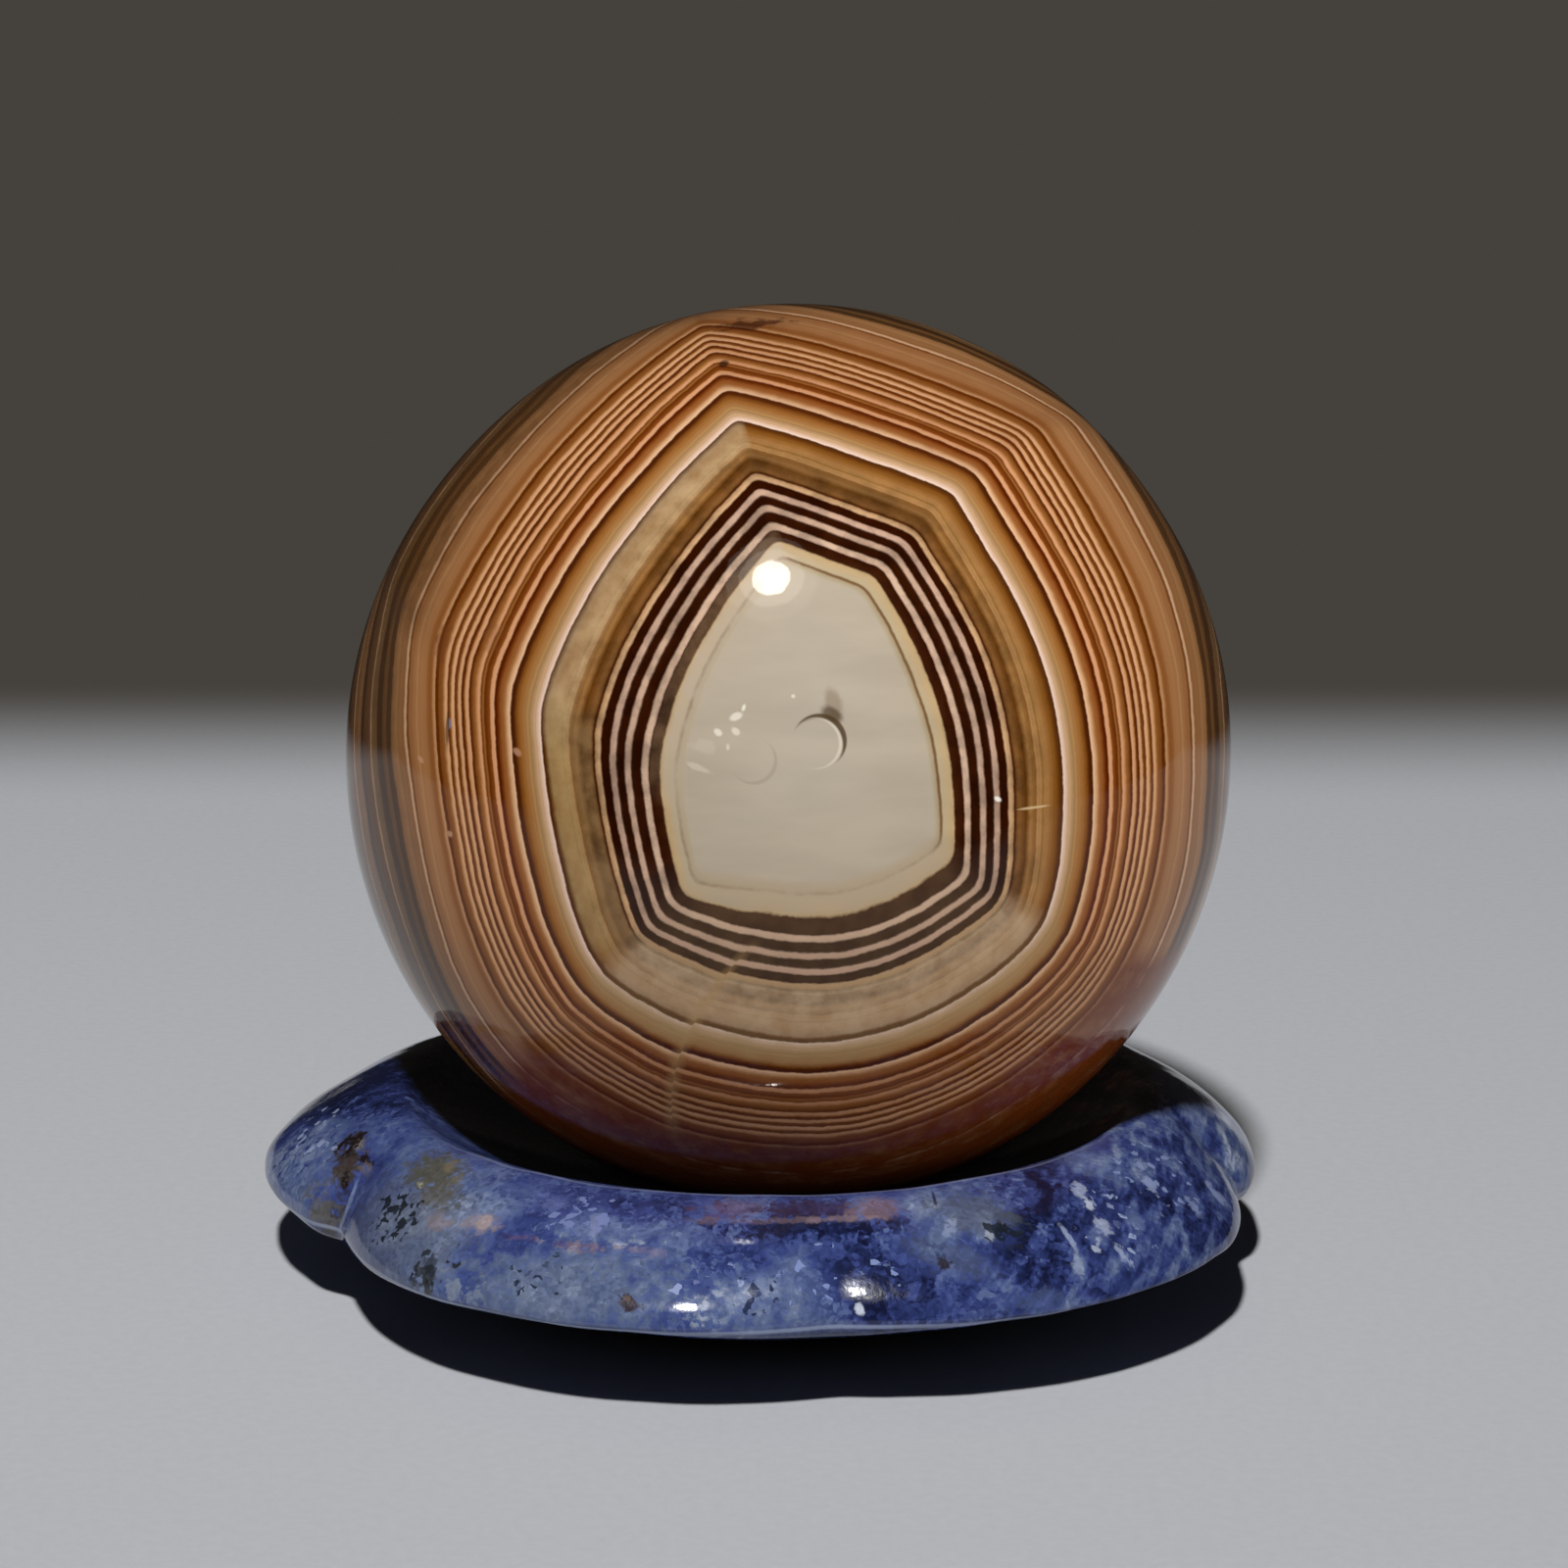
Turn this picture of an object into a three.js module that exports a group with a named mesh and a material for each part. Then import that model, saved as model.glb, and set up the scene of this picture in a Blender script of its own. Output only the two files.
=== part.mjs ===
// A polished ball of banded agate, resting in the shallow dish of a stand that is
// carved from sodalite as a flower with five petals.
//
// Millimetres, +Z up. The origin is the centre of the stand's flat foot, on the
// surface that it stands on, and the side seen in a front view faces -Y.

import * as THREE from "three";
import { mergeVertices } from "three/addons/utils/BufferGeometryUtils.js";

const degrees = Math.PI / 180;

// Ball: ground by hand, so a little longer than wide, with two soft flats.
const ballGirthRadius = 22.4;
const ballLongRadius = 22.8;
const ballLongAxisLean = 12; // degrees from upright towards +X
const ballCentre = new THREE.Vector3(0.9, 0.4, 26.6);
const ballDetail = 12; // edge splits of the icosahedron that the ball starts from
const grindingFlats = [
  { towards: new THREE.Vector3(-0.74, 0.15, 0.65), depth: 0.15, spread: 22 },
  { towards: new THREE.Vector3(0.81, 0.13, 0.57), depth: 0.12, spread: 14 },
];

// Petals, anticlockwise seen from above. Each one's edge is an arc of a disc. The
// angle of its tip is in degrees from +X, and the reach is from the stand's axis.
const petals = [
  { angle: 23, reach: 25.7, discRadius: 20 },
  { angle: 97, reach: 26.2, discRadius: 17.7 },
  { angle: 168, reach: 26.6, discRadius: 17.5 },
  { angle: 245, reach: 26.1, discRadius: 18 },
  { angle: 312, reach: 26.5, discRadius: 18 },
];
const segmentsPerPetal = 22;

// Stand: a small flat foot, petals with a rounded edge, a crest and a dish.
const footRadius = 13;
const undersideSlope = 19; // degrees, from the foot up to the petals' edge
const edgeRounding = 0.8; // how far in the rounding under the edge starts
const edgeHeight = 4.75; // height at which the petals reach furthest out
const flankRoundness = 0.3; // 0 is a straight bevel and 0.55 a quarter of an ellipse
const crestRadius = 19.4;
const crestHeight = 9.3;
const crestRoundingWidth = 1.4;
const crestRoundingDrop = 0.6;
const touchGap = 0.3; // between the dish and the ball that rests in it

// Ball

const ballLongAxis = new THREE.Vector3(
  Math.sin(ballLongAxisLean * degrees), 0, Math.cos(ballLongAxisLean * degrees),
);

// Distance from the ball's centre to its surface in one direction: an ellipsoid
// of revolution about the long axis, less the soft dip of each flat.
function ballRadius(direction) {
  const along = direction.dot(ballLongAxis);
  const across = Math.sqrt(Math.max(0, 1 - along ** 2));
  let radius = 1 / Math.hypot(along / ballLongRadius, across / ballGirthRadius);
  for (const flat of grindingFlats) {
    const away = direction.angleTo(flat.towards) / (flat.spread * degrees);
    radius -= flat.depth * Math.exp(-(away ** 2));
  }
  return radius;
}

function ballGeometry() {
  const grid = new THREE.IcosahedronGeometry(1, ballDetail);
  grid.deleteAttribute("normal");
  grid.deleteAttribute("uv");
  const geometry = mergeVertices(grid);
  const position = geometry.getAttribute("position");
  const vertex = new THREE.Vector3();
  for (let i = 0; i < position.count; i += 1) {
    vertex.fromBufferAttribute(position, i).normalize();
    vertex.multiplyScalar(ballRadius(vertex));
    position.setXYZ(i, vertex.x, vertex.y, vertex.z);
  }
  geometry.computeVertexNormals();
  return geometry;
}

// Petal outlines

function petalDisc({ angle, reach, discRadius }) {
  const offset = reach - discRadius;
  const centre = new THREE.Vector2(offset, 0);
  return { centre: centre.rotateAround(new THREE.Vector2(), angle * degrees), discRadius };
}

// Angle of the notch where one petal's disc meets the next one's.
function notchAngle(petal, next) {
  const [a, b] = [petalDisc(petal), petalDisc(next)];
  const apart = b.centre.clone().sub(a.centre);
  const distance = apart.length();
  const along = (a.discRadius ** 2 - b.discRadius ** 2 + distance ** 2) / (2 * distance);
  const outward = Math.sqrt(a.discRadius ** 2 - along ** 2);
  const unit = apart.divideScalar(distance);
  return new THREE.Vector2(unit.y, -unit.x)
    .multiplyScalar(outward).addScaledVector(unit, along).add(a.centre).angle();
}

// Distance from the stand's axis to a petal's edge at one angle.
function petalEdge({ angle, reach, discRadius }, at) {
  const offset = reach - discRadius;
  const turned = at - angle * degrees;
  return offset * Math.cos(turned) + Math.sqrt(discRadius ** 2 - (offset * Math.sin(turned)) ** 2);
}

// Stand

const ballUnderside = ballCentre.z - ballRadius(new THREE.Vector3(0, 0, -1));
const dishFloor = ballUnderside - touchGap;

// The section in one direction, where the petals reach this far: from the foot's
// centre out to the edge, up the flank, over the crest and down into the dish.
function standSection(reach) {
  const slope = Math.tan(undersideSlope * degrees);
  const undersideEnd = reach - edgeRounding;
  const flankWidth = reach - crestRadius;
  const flankHeight = crestHeight - edgeHeight;
  const dishEdge = crestRadius - crestRoundingWidth;
  const dishDepth = crestHeight - crestRoundingDrop - dishFloor;
  const dishRadius = (dishEdge ** 2 + dishDepth ** 2) / (2 * dishDepth);
  const dishAngle = Math.asin(dishEdge / dishRadius);

  const underside = new THREE.Path();
  underside.moveTo(0, 0);
  underside.lineTo(footRadius, 0);
  underside.lineTo(undersideEnd, slope * (undersideEnd - footRadius));
  const rounding = new THREE.QuadraticBezierCurve(
    new THREE.Vector2(undersideEnd, slope * (undersideEnd - footRadius)),
    new THREE.Vector2(reach, slope * (reach - footRadius)),
    new THREE.Vector2(reach, edgeHeight),
  );
  const flank = new THREE.CubicBezierCurve(
    new THREE.Vector2(reach, edgeHeight),
    new THREE.Vector2(reach, edgeHeight + flankRoundness * flankHeight),
    new THREE.Vector2(crestRadius + flankRoundness * flankWidth, crestHeight),
    new THREE.Vector2(crestRadius, crestHeight),
  );
  const crest = new THREE.QuadraticBezierCurve(
    new THREE.Vector2(crestRadius, crestHeight),
    new THREE.Vector2(dishEdge + crestRoundingDrop / Math.tan(dishAngle), crestHeight),
    new THREE.Vector2(dishEdge, crestHeight - crestRoundingDrop),
  );
  const dish = new THREE.EllipseCurve(
    0, dishFloor + dishRadius, dishRadius, dishRadius,
    dishAngle - Math.PI / 2, -Math.PI / 2, true,
  );

  const points = underside.getPoints(1);
  for (const [curve, steps] of [[rounding, 4], [flank, 9], [crest, 2], [dish, 7]]) {
    points.push(...curve.getPoints(steps).slice(1));
  }
  points.at(-1).x = 0;
  return points;
}

// A body is turned with a column of points for each angle, from notch to notch of
// each petal. Then each column gets the section for its own petal's reach. Inside
// the crest, the rings move over towards the ball's centre.
function standGeometry() {
  const tipSection = standSection(petals[0].reach);
  const rows = tipSection.length;
  const columns = petals.length * segmentsPerPetal;
  const lathe = new THREE.LatheGeometry(tipSection, columns);
  lathe.rotateX(Math.PI / 2);
  lathe.deleteAttribute("normal");
  lathe.deleteAttribute("uv");
  const position = lathe.getAttribute("position");
  for (let column = 0; column <= columns; column += 1) {
    const index = Math.floor(column / segmentsPerPetal) % petals.length;
    const petal = petals[index];
    const start = notchAngle(petals.at(index - 1), petal);
    const end = notchAngle(petal, petals[(index + 1) % petals.length]);
    const span = THREE.MathUtils.euclideanModulo(end - start, 2 * Math.PI);
    const angle = start + (span * (column % segmentsPerPetal)) / segmentsPerPetal;
    standSection(petalEdge(petal, angle)).forEach((point, row) => {
      const inDish = point.x < crestRadius && point.y >= dishFloor;
      const towardsBall = inDish ? 1 - point.x / crestRadius : 0;
      position.setXYZ(
        column * rows + row,
        point.x * Math.cos(angle) + towardsBall * ballCentre.x,
        point.x * Math.sin(angle) + towardsBall * ballCentre.y,
        point.y,
      );
    });
  }
  const geometry = mergeVertices(lathe);
  geometry.computeVertexNormals();
  return geometry;
}

const agate = new THREE.MeshStandardMaterial({ color: 0x9c6a3a, roughness: 0.05, metalness: 0 });
const sodalite = new THREE.MeshStandardMaterial({ color: 0x3f4f94, roughness: 0.12, metalness: 0 });

const ball = new THREE.Mesh(ballGeometry(), agate);
ball.name = "agate_ball";
ball.position.copy(ballCentre);

const stand = new THREE.Mesh(standGeometry(), sodalite);
stand.name = "sodalite_stand";

const agateOnStand = new THREE.Group();
agateOnStand.add(stand, ball);

export default agateOnStand;
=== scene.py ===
import math

import bmesh
import bpy
from mathutils import Matrix, Vector


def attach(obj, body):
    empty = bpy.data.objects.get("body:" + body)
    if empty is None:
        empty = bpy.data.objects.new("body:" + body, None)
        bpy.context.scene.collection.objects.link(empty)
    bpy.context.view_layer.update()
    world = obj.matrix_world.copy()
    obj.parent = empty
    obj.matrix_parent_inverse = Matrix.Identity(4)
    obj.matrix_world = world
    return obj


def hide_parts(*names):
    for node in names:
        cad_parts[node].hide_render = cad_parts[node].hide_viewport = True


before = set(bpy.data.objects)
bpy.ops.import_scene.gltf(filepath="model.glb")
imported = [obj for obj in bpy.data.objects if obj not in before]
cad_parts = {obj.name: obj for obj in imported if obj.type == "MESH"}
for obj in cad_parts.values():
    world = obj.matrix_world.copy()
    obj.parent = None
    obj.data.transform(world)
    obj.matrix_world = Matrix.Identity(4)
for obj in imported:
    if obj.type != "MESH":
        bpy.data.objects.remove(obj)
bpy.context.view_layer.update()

scene = bpy.context.scene
scene.view_settings.view_transform = "Standard"


# Table
# The pale grey laminate top that the stand is on. Its far edge is out of focus in a
# photograph at this scale, so the top fades out there instead of ending in a line.

mm = 0.001
to_mm = (1000, 1000, 1000)  # from the metres that Object coordinates are in
table_size = (560, 300)  # mm across and deep
table_middle = (0, 30)
back_edge = (107, 157)  # mm behind the stand, where the top blurs into the wall's tone
side_edge = (230, 275)
front_edge = (58, 112)
laminate_tones = ("B5B7BC", "C3C5C9")
laminate_grains_per_mm = 1.6


def linear(hex_colour):
    """Turns an sRGB hex colour into the linear colour that sockets take."""
    shares = [int(hex_colour[i : i + 2], 16) / 255 for i in (0, 2, 4)]
    turned = [s / 12.92 if s <= 0.04045 else ((s + 0.055) / 1.055) ** 2.4 for s in shares]
    return (*turned, 1.0)


def add(tree, kind, sockets, **settings):
    """Adds a node, sets it up, feeds its sockets and gives the output it is used for.
    Sockets go by name or number. A MapRange has the value (0), the range that it is in
    (1, 2) and the range that it is turned into (3, 4). A Mix of colours has the share of
    the second one (0) and the two colours (6, 7)."""
    new = tree.nodes.new("ShaderNode" + kind)
    for name, value in settings.items():
        setattr(new, name, value)
    for socket, value in sockets.items():
        if isinstance(value, bpy.types.NodeSocket):
            tree.links.new(value, new.inputs[socket])
        else:
            new.inputs[socket].default_value = value
    return next((output for output in new.outputs if output.enabled), new)


def empty_material(name):
    """A new material with nothing in it but its output."""
    material = bpy.data.materials.new(name)
    material.use_nodes = True
    material.node_tree.nodes.clear()
    return material, material.node_tree


# Laminate: printed melamine, pressed with a fine texture, so it shows a faint grain and no
# mirror image.
laminate, tree = empty_material("pale matt laminate")
coordinates = add(tree, "TexCoord", {})
place = add(tree, "Mapping", {0: coordinates.node.outputs["Object"], 3: to_mm})
grain = add(
    tree,
    "TexNoise",
    {"Vector": place, "Scale": laminate_grains_per_mm, "Detail": 3.0, "Roughness": 0.7},
)
low_tone, high_tone = [linear(hex_colour) for hex_colour in laminate_tones]
tone = add(
    tree, "Mix", {0: grain, 6: low_tone, 7: high_tone}, data_type="RGBA"
).node.outputs[2]

# Painted sheen: the top's colour is made paler towards the back, where it is seen at a lower angle.
top_axes = add(tree, "SeparateXYZ", {0: place}).node
painted_sheen = add(
    tree, "MapRange", {0: top_axes.outputs["Y"], 1: -40.0, 2: 130.0, 3: 1.0, 4: 1.4}
)
tone = add(tree, "VectorMath", {0: tone, "Scale": painted_sheen}, operation="SCALE")

# Out of focus towards its edges, it gives way to the wall's tone.
side = add(tree, "Math", {0: top_axes.outputs["X"]}, operation="ABSOLUTE")
front = add(tree, "Math", {0: top_axes.outputs["Y"], 1: -1.0}, operation="MULTIPLY")
fade = 0.0
for reach, (start, end) in (
    (top_axes.outputs["Y"], back_edge),
    (side, side_edge),
    (front, front_edge),
):
    edge = add(
        tree, "MapRange", {0: reach, 1: start, 2: end}, interpolation_type="SMOOTHSTEP"
    )
    fade = add(tree, "Math", {0: edge, 1: fade}, operation="MAXIMUM")
matt = add(tree, "BsdfPrincipled", {"Base Color": tone, "Roughness": 0.75, "IOR": 1.45})
clear = add(tree, "BsdfTransparent", {})
top = add(tree, "MixShader", {0: fade, 1: matt, 2: clear})
add(tree, "OutputMaterial", {"Surface": top})

bpy.ops.object.select_all(action="DESELECT")
bpy.ops.mesh.primitive_plane_add(
    size=1, location=(table_middle[0] * mm, table_middle[1] * mm, 0),
    scale=(table_size[0] * mm, table_size[1] * mm, 1),
)
table = bpy.context.object
bpy.ops.object.transform_apply(location=True, scale=True)
table.name = "table_top"
table.data.materials.append(laminate)


# Light
# One small lamp above and behind the camera gives the round highlight and the crisp
# shadow, with a soft glow round it in the polish. Two soft lights fill in the ball's sides.

wall_tone = "45413C"
wall_in_polish = 0.22  # how much of its own brightness the wall has where it is mirrored
wall_as_light = 0.15  # and where it lights the stones and the table
lights = (  # name, place and width in mm, watts, whether it gives light, whether it is mirrored
    ("lamp", (-43, -336, 491), 36, 3.3, True, True),
    ("lamp_glow", (-43, -337, 492), 88, 0.5, False, True),
    ("lamp_haze", (-43, -338, 493), 150, 0.17, False, True),
    ("lamp_halo", (-43, -339, 494), 220, 0.14, False, True),
    ("fill_right", (480, -250, 150), 300, 1.4, True, False),
    ("fill_left", (-350, -330, 30), 240, 0.35, True, False),
)

world = bpy.data.worlds.new("taupe wall")
scene.world = world
world.use_nodes = True
tree = world.node_tree
tree.nodes.clear()
rays = add(tree, "LightPath", {}).node
lighting = add(
    tree, "MapRange", {0: rays.outputs["Is Diffuse Ray"], 3: wall_in_polish, 4: wall_as_light}
)
shown = add(tree, "MapRange", {0: rays.outputs["Is Camera Ray"], 3: lighting, 4: 1.0})
wall = add(tree, "Background", {"Color": linear(wall_tone), "Strength": shown})
add(tree, "OutputWorld", {"Surface": wall})

stone_middle = Vector((0, 0, 22)) * mm  # which all of them face
fills = []
for name, spot, width, watts, gives_light, is_mirrored in lights:
    spot = Vector(spot) * mm
    bpy.ops.object.light_add(type="AREA", location=spot)
    light = bpy.context.object
    light.name = name
    light.data.shape = "DISK"
    light.data.size = width * mm
    light.data.energy = watts
    light.rotation_euler = (stone_middle - spot).to_track_quat("-Z", "Y").to_euler()
    light.visible_diffuse = gives_light
    light.visible_glossy = is_mirrored
    if not is_mirrored:
        fills.append(light)


# Camera
# Level across, a little above the ball and looking down at it.

camera_place = Vector((0.68, -224.06, 74.01)) * mm
camera_pitch = 12.31  # degrees down
focal_length = 103.5  # mm, on a sensor this wide
sensor_width = 36
bpy.ops.object.camera_add(
    location=camera_place, rotation=(math.radians(90 - camera_pitch), 0, 0)
)
camera = bpy.context.object
camera.data.lens = focal_length
camera.data.sensor_width = sensor_width
scene.camera = camera


# Ball
# A nodule of banded agate, ground into a ball by hand and polished. It is a little
# longer along one leaning axis, and has two soft flats where the wheel stayed longer.

ball_centre = (0.9, 0.4, 26.6)  # mm
ball_girth_radius = 22.4
ball_long_radius = 22.8
ball_lean = 12  # degrees from upright towards +X
grinding_flats = (  # the way it faces, its depth and how far it reaches, in mm
    ((-0.74, 0.15, 0.65), 0.15, 14.3),
    ((0.81, 0.13, 0.57), 0.12, 9.1),
)

bpy.ops.object.select_all(action="DESELECT")
bpy.ops.mesh.primitive_ico_sphere_add(
    subdivisions=7,
    radius=1.0,
    location=[mm * value for value in ball_centre],
    rotation=(0, math.radians(ball_lean), 0),
    scale=[mm * value for value in (ball_girth_radius, ball_girth_radius, ball_long_radius)],
)
ball = bpy.context.object
ball.name = "agate_sphere"
bpy.ops.object.transform_apply(location=True, rotation=True, scale=True)
bpy.ops.object.mode_set(mode="EDIT")
for facing, depth, reach in grinding_flats:
    bpy.ops.mesh.select_all(action="DESELECT")
    work = bmesh.from_edit_mesh(ball.data)
    facing = Vector(facing).normalized()
    nearest = max(work.verts, key=lambda vertex: (vertex.co - Vector(ball_centre) * mm) @ facing)
    nearest.select_set(True)
    bmesh.update_edit_mesh(ball.data)
    bpy.ops.transform.translate(
        value=-facing * depth * mm,
        use_proportional_edit=True,
        proportional_edit_falloff="SMOOTH",
        proportional_size=reach * mm,
    )
bpy.ops.object.mode_set(mode="OBJECT")
bpy.ops.object.shade_smooth()

# Agate: chalcedony that settled layer on layer inside a hollow, so the layers follow the
# hollow's walls inwards and meet at corners, down to a grey core. The ball's surface
# cuts through them. Polished to a mirror gloss, so the lamp shows as one round spot.

agate, tree = empty_material("polished banded agate")
coordinates = add(tree, "TexCoord", {})
place = add(
    tree,
    "Mapping",
    {0: coordinates.node.outputs["Object"], 1: [-v for v in ball_centre], 3: to_mm},
)
axes = add(tree, "SeparateXYZ", {0: place}).node

# The hollow's walls, one or two domed facets each: the side that a facet faces, in
# degrees from +X up towards +Z, how far it leans to the back, the radius of its dome
# and its distance from the ball's middle, in mm. The last wall, below, is the one whose
# corners grow rounder further out, and whose layers next to the core are thicker.
hollow_walls = (
    ((356, 10, 50, 11.65), (33, 4, 80, 13.90)),
    ((68, 23, 49, 12.50),),
    ((145, 20, 40, 11.60), (184, 23, 30, 10.70)),
    ((193, 26, 30, 8.15),),
    ((252, 17, 30, 10.30), (300, 23, 30, 9.40)),
)
facet_blend = 5.0
corner_blend = 0.4

depth = None
wall_depths = []
for wall_facets in hollow_walls:
    wall_depth = None
    for facing, leaning, dome, distance in wall_facets:
        turn = math.radians(facing)
        lean = math.radians(leaning)
        outward = Vector(
            (math.cos(turn) * math.cos(lean), math.sin(lean), math.sin(turn) * math.cos(lean))
        )
        centre = outward * (distance - dome)
        reach = add(tree, "VectorMath", {0: place, 1: centre}, operation="DISTANCE")
        facet = add(tree, "Math", {0: reach, 1: dome}, operation="SUBTRACT")
        if wall_depth is None:
            wall_depth = facet
        else:
            wall_depth = add(
                tree, "Math", {0: wall_depth, 1: facet, 2: facet_blend}, operation="SMOOTH_MAX"
            )
    if depth is None:
        depth = wall_depth
    elif wall_facets is hollow_walls[-1]:
        thicker = add(tree, "MapRange", {0: wall_depth, 1: -3.0, 2: -1.9, 3: 0.46, 4: 0.0})
        right_part = add(tree, "MapRange", {0: axes.outputs["X"], 1: -5.0, 2: -1.0})
        thicker = add(tree, "Math", {0: thicker, 1: right_part}, operation="MULTIPLY")
        wall_depth = add(tree, "Math", {0: wall_depth, 1: thicker}, operation="ADD")
        bottom_ahead = add(tree, "Math", {0: wall_depth, 1: depth}, operation="SUBTRACT")
        sharpest = add(tree, "Math", {0: depth, 1: wall_depth}, operation="MAXIMUM")
        roundness = add(tree, "MapRange", {0: sharpest, 1: -1.0, 2: 5.0, 3: 0.5, 4: 5.0})
        depth = add(
            tree, "Math", {0: depth, 1: wall_depth, 2: roundness}, operation="SMOOTH_MAX"
        )
    else:
        depth = add(
            tree, "Math", {0: depth, 1: wall_depth, 2: corner_blend}, operation="SMOOTH_MAX"
        )
    wall_depths.append(wall_depth)

# A healed crack runs down the front of the bottom wall. The layers on its left have
# slipped outwards a little, more so the nearer they are to it.
crack_leftmost = (-5.6, -13.7)  # X and Z in mm, from where it bends back to the right
crack_curvature = 0.045  # per mm
most_slip = 0.14  # mm

crack_bend = add(
    tree, "Math", {0: axes.outputs["Z"], 1: crack_leftmost[1]}, operation="SUBTRACT"
)
crack_bend = add(tree, "Math", {0: crack_bend, 1: 2.0}, operation="POWER")
crack_bend = add(
    tree, "Math", {0: crack_bend, 1: crack_curvature, 2: crack_leftmost[0]},
    operation="MULTIPLY_ADD",
)
off_crack = add(tree, "Math", {0: axes.outputs["X"], 1: crack_bend}, operation="SUBTRACT")
slipped = add(tree, "MapRange", {0: off_crack, 1: -3.0, 2: 0.0, 3: 0.0, 4: -most_slip})
left_of_crack = add(tree, "MapRange", {0: off_crack, 1: 0.04, 2: -0.04})
slipped = add(tree, "Math", {0: slipped, 1: left_of_crack}, operation="MULTIPLY")
below = add(tree, "MapRange", {0: axes.outputs["Z"], 1: -4.0, 2: -6.0})
above = add(tree, "MapRange", {0: axes.outputs["Z"], 1: -16.5, 2: -14.0})
in_front = add(tree, "MapRange", {0: axes.outputs["Y"], 1: -10.0, 2: -13.0})
near_crack = add(tree, "Math", {0: below, 1: in_front}, operation="MULTIPLY")
near_crack = add(tree, "Math", {0: near_crack, 1: above}, operation="MULTIPLY")
true_depth = depth
depth = add(tree, "Math", {0: slipped, 1: near_crack, 2: depth}, operation="MULTIPLY_ADD")

# Layers wander over centimetres, more so near the rind, and their edges are ragged, most
# of all on the bottom wall.
on_bottom = add(tree, "MapRange", {0: bottom_ahead, 1: -0.4, 2: 0.4})
ragged_edge = add(tree, "MapRange", {0: on_bottom, 3: 1.0, 4: 1.3})
towards_rind = add(tree, "MapRange", {0: depth, 1: 6.5, 2: 10.0, 3: 0.14, 4: 0.5})
for per_mm, detail, shift, grows in (
    (0.13, 1.0, 1.0, towards_rind),
    (1.0, 3.0, 0.045, ragged_edge),
    (4.0, 2.0, 0.014, ragged_edge),
):
    wave = add(tree, "TexNoise", {"Vector": place, "Scale": per_mm, "Detail": detail})
    wave = add(tree, "Math", {0: wave, 1: 0.5}, operation="SUBTRACT")
    wave = add(tree, "Math", {0: wave, 1: 2 * shift}, operation="MULTIPLY")
    depth = add(tree, "Math", {0: wave, 1: grows, 2: depth}, operation="MULTIPLY_ADD")

# Layers from the core outwards: where each starts, in mm from the tan line that closes
# the dark group, and its colour at its inner and at its outer side.
layers = (
    (-9.00, "AEA393", "AB9E8B"),  # waxy grey core
    (-3.05, "A8997F", "A08D70"),
    (-2.86, "6E5030", "6E5030"),
    (-2.75, "AE9C7E", "B6986E"),  # yellowish rim
    (-2.27, "38190A", "2F1002"),  # dark group with three light lines
    (-1.86, "C2A189", "BD9E85"),
    (-1.63, "2C0E02", "2E1103"),
    (-1.24, "B99881", "B5947D"),
    (-1.03, "2A0D01", "2B0E02"),
    (-0.70, "BA9882", "B3907A"),
    (-0.49, "2B0D01", "2C0C00"),
    (-0.16, "C39B74", "B28A62"),  # tan line
    (0.03, "3A1602", "4A2408"),
    (0.14, "6E4824", "764D27"),  # olive and tan zone
    (0.33, "6C441E", "5C350F"),
    (0.55, "70481F", "8A6035"),
    (0.70, "916739", "865B2E"),
    (0.86, "7A5026", "84592C"),
    (0.95, "A0764A", "976D3E"),
    (1.15, "8C6233", "946A3B"),
    (1.25, "9A6F40", "8F6031"),
    (1.50, "875826", "6A3C10"),
    (1.78, "5A300F", "402006"),
    (1.96, "E4C4AE", "D4B096"),  # the whitest line
    (2.12, "B89470", "A07A50"),
    (2.40, "A57C4B", "99683A"),
    (2.65, "96632F", "7E4A1C"),
    (2.88, "6E3E14", "522608"),
    (3.00, "421A04", "421A04"),
    (3.13, "E2B48C", "CF9F76"),  # fine light lines on brown
    (3.28, "AE7C50", "955F33"),
    (3.42, "8F5528", "6E350E"),
    (3.64, "511A00", "4E1900"),
    (3.77, "D69C72", "C48B60"),
    (3.93, "7E4316", "5E2803"),
    (4.16, "8F572B", "85501F"),
    (4.25, "5F2E0E", "6A3512"),
    (4.31, "D0966A", "B98054"),
    (4.47, "97602F", "743F16"),
    (4.66, "552302", "552302"),
    (4.76, "DFA77A", "C48C60"),
    (4.90, "8A5428", "6A3510"),
    (4.98, "522000", "522000"),
    (5.07, "DBA478", "C08A5E"),
    (5.20, "7A4418", "5C2A06"),
    (5.36, "DDA87C", "C69062"),
    (5.50, "7C471B", "5E2D08"),
    (5.66, "D49D70", "BF8A5C"),
    (5.82, "8A5528", "7A4418"),
    (6.05, "5A2802", "5A2802"),
    (6.20, "C08E62", "A87448"),
    (6.34, "855028", "8E5A2E"),
    (6.60, "9A6840", "A5754A"),  # smooth orange brown
    (7.10, "9C6C44", "8E5C34"),
    (7.42, "744420", "70421E"),
    (7.52, "D0A680", "BE9470"),
    (7.63, "8A5C38", "96683F"),
    (8.00, "9E7048", "8A5E38"),
    (8.30, "4E3218", "462B12"),  # olive brown near the nodule's rind
    (8.55, "6E4A28", "6A4624"),
    (8.75, "42270F", "3E220C"),
    (9.05, "70502E", "7A5836"),
    (9.40, "CDA680", "8A6440"),
    (9.50, "6B4526", "5C3A1E"),
    (9.95, "341D0C", "402510"),
    (10.15, "96683E", "8C5E36"),
    (10.70, "CFA882", "A87C56"),
    (10.82, "7A4E2A", "6E4424"),
    (11.40, "422614", "4E2E18"),
    (11.65, "8C6038", "9A6C44"),
    (12.30, "4E301A", "5A3822"),
    (12.80, "83583A", "7A5033"),
    (13.40, "4C2E18", "4C2E18"),
    (15.00, "4C2E18", "4C2E18"),
)
layer_softness = 0.03  # mm
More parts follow.
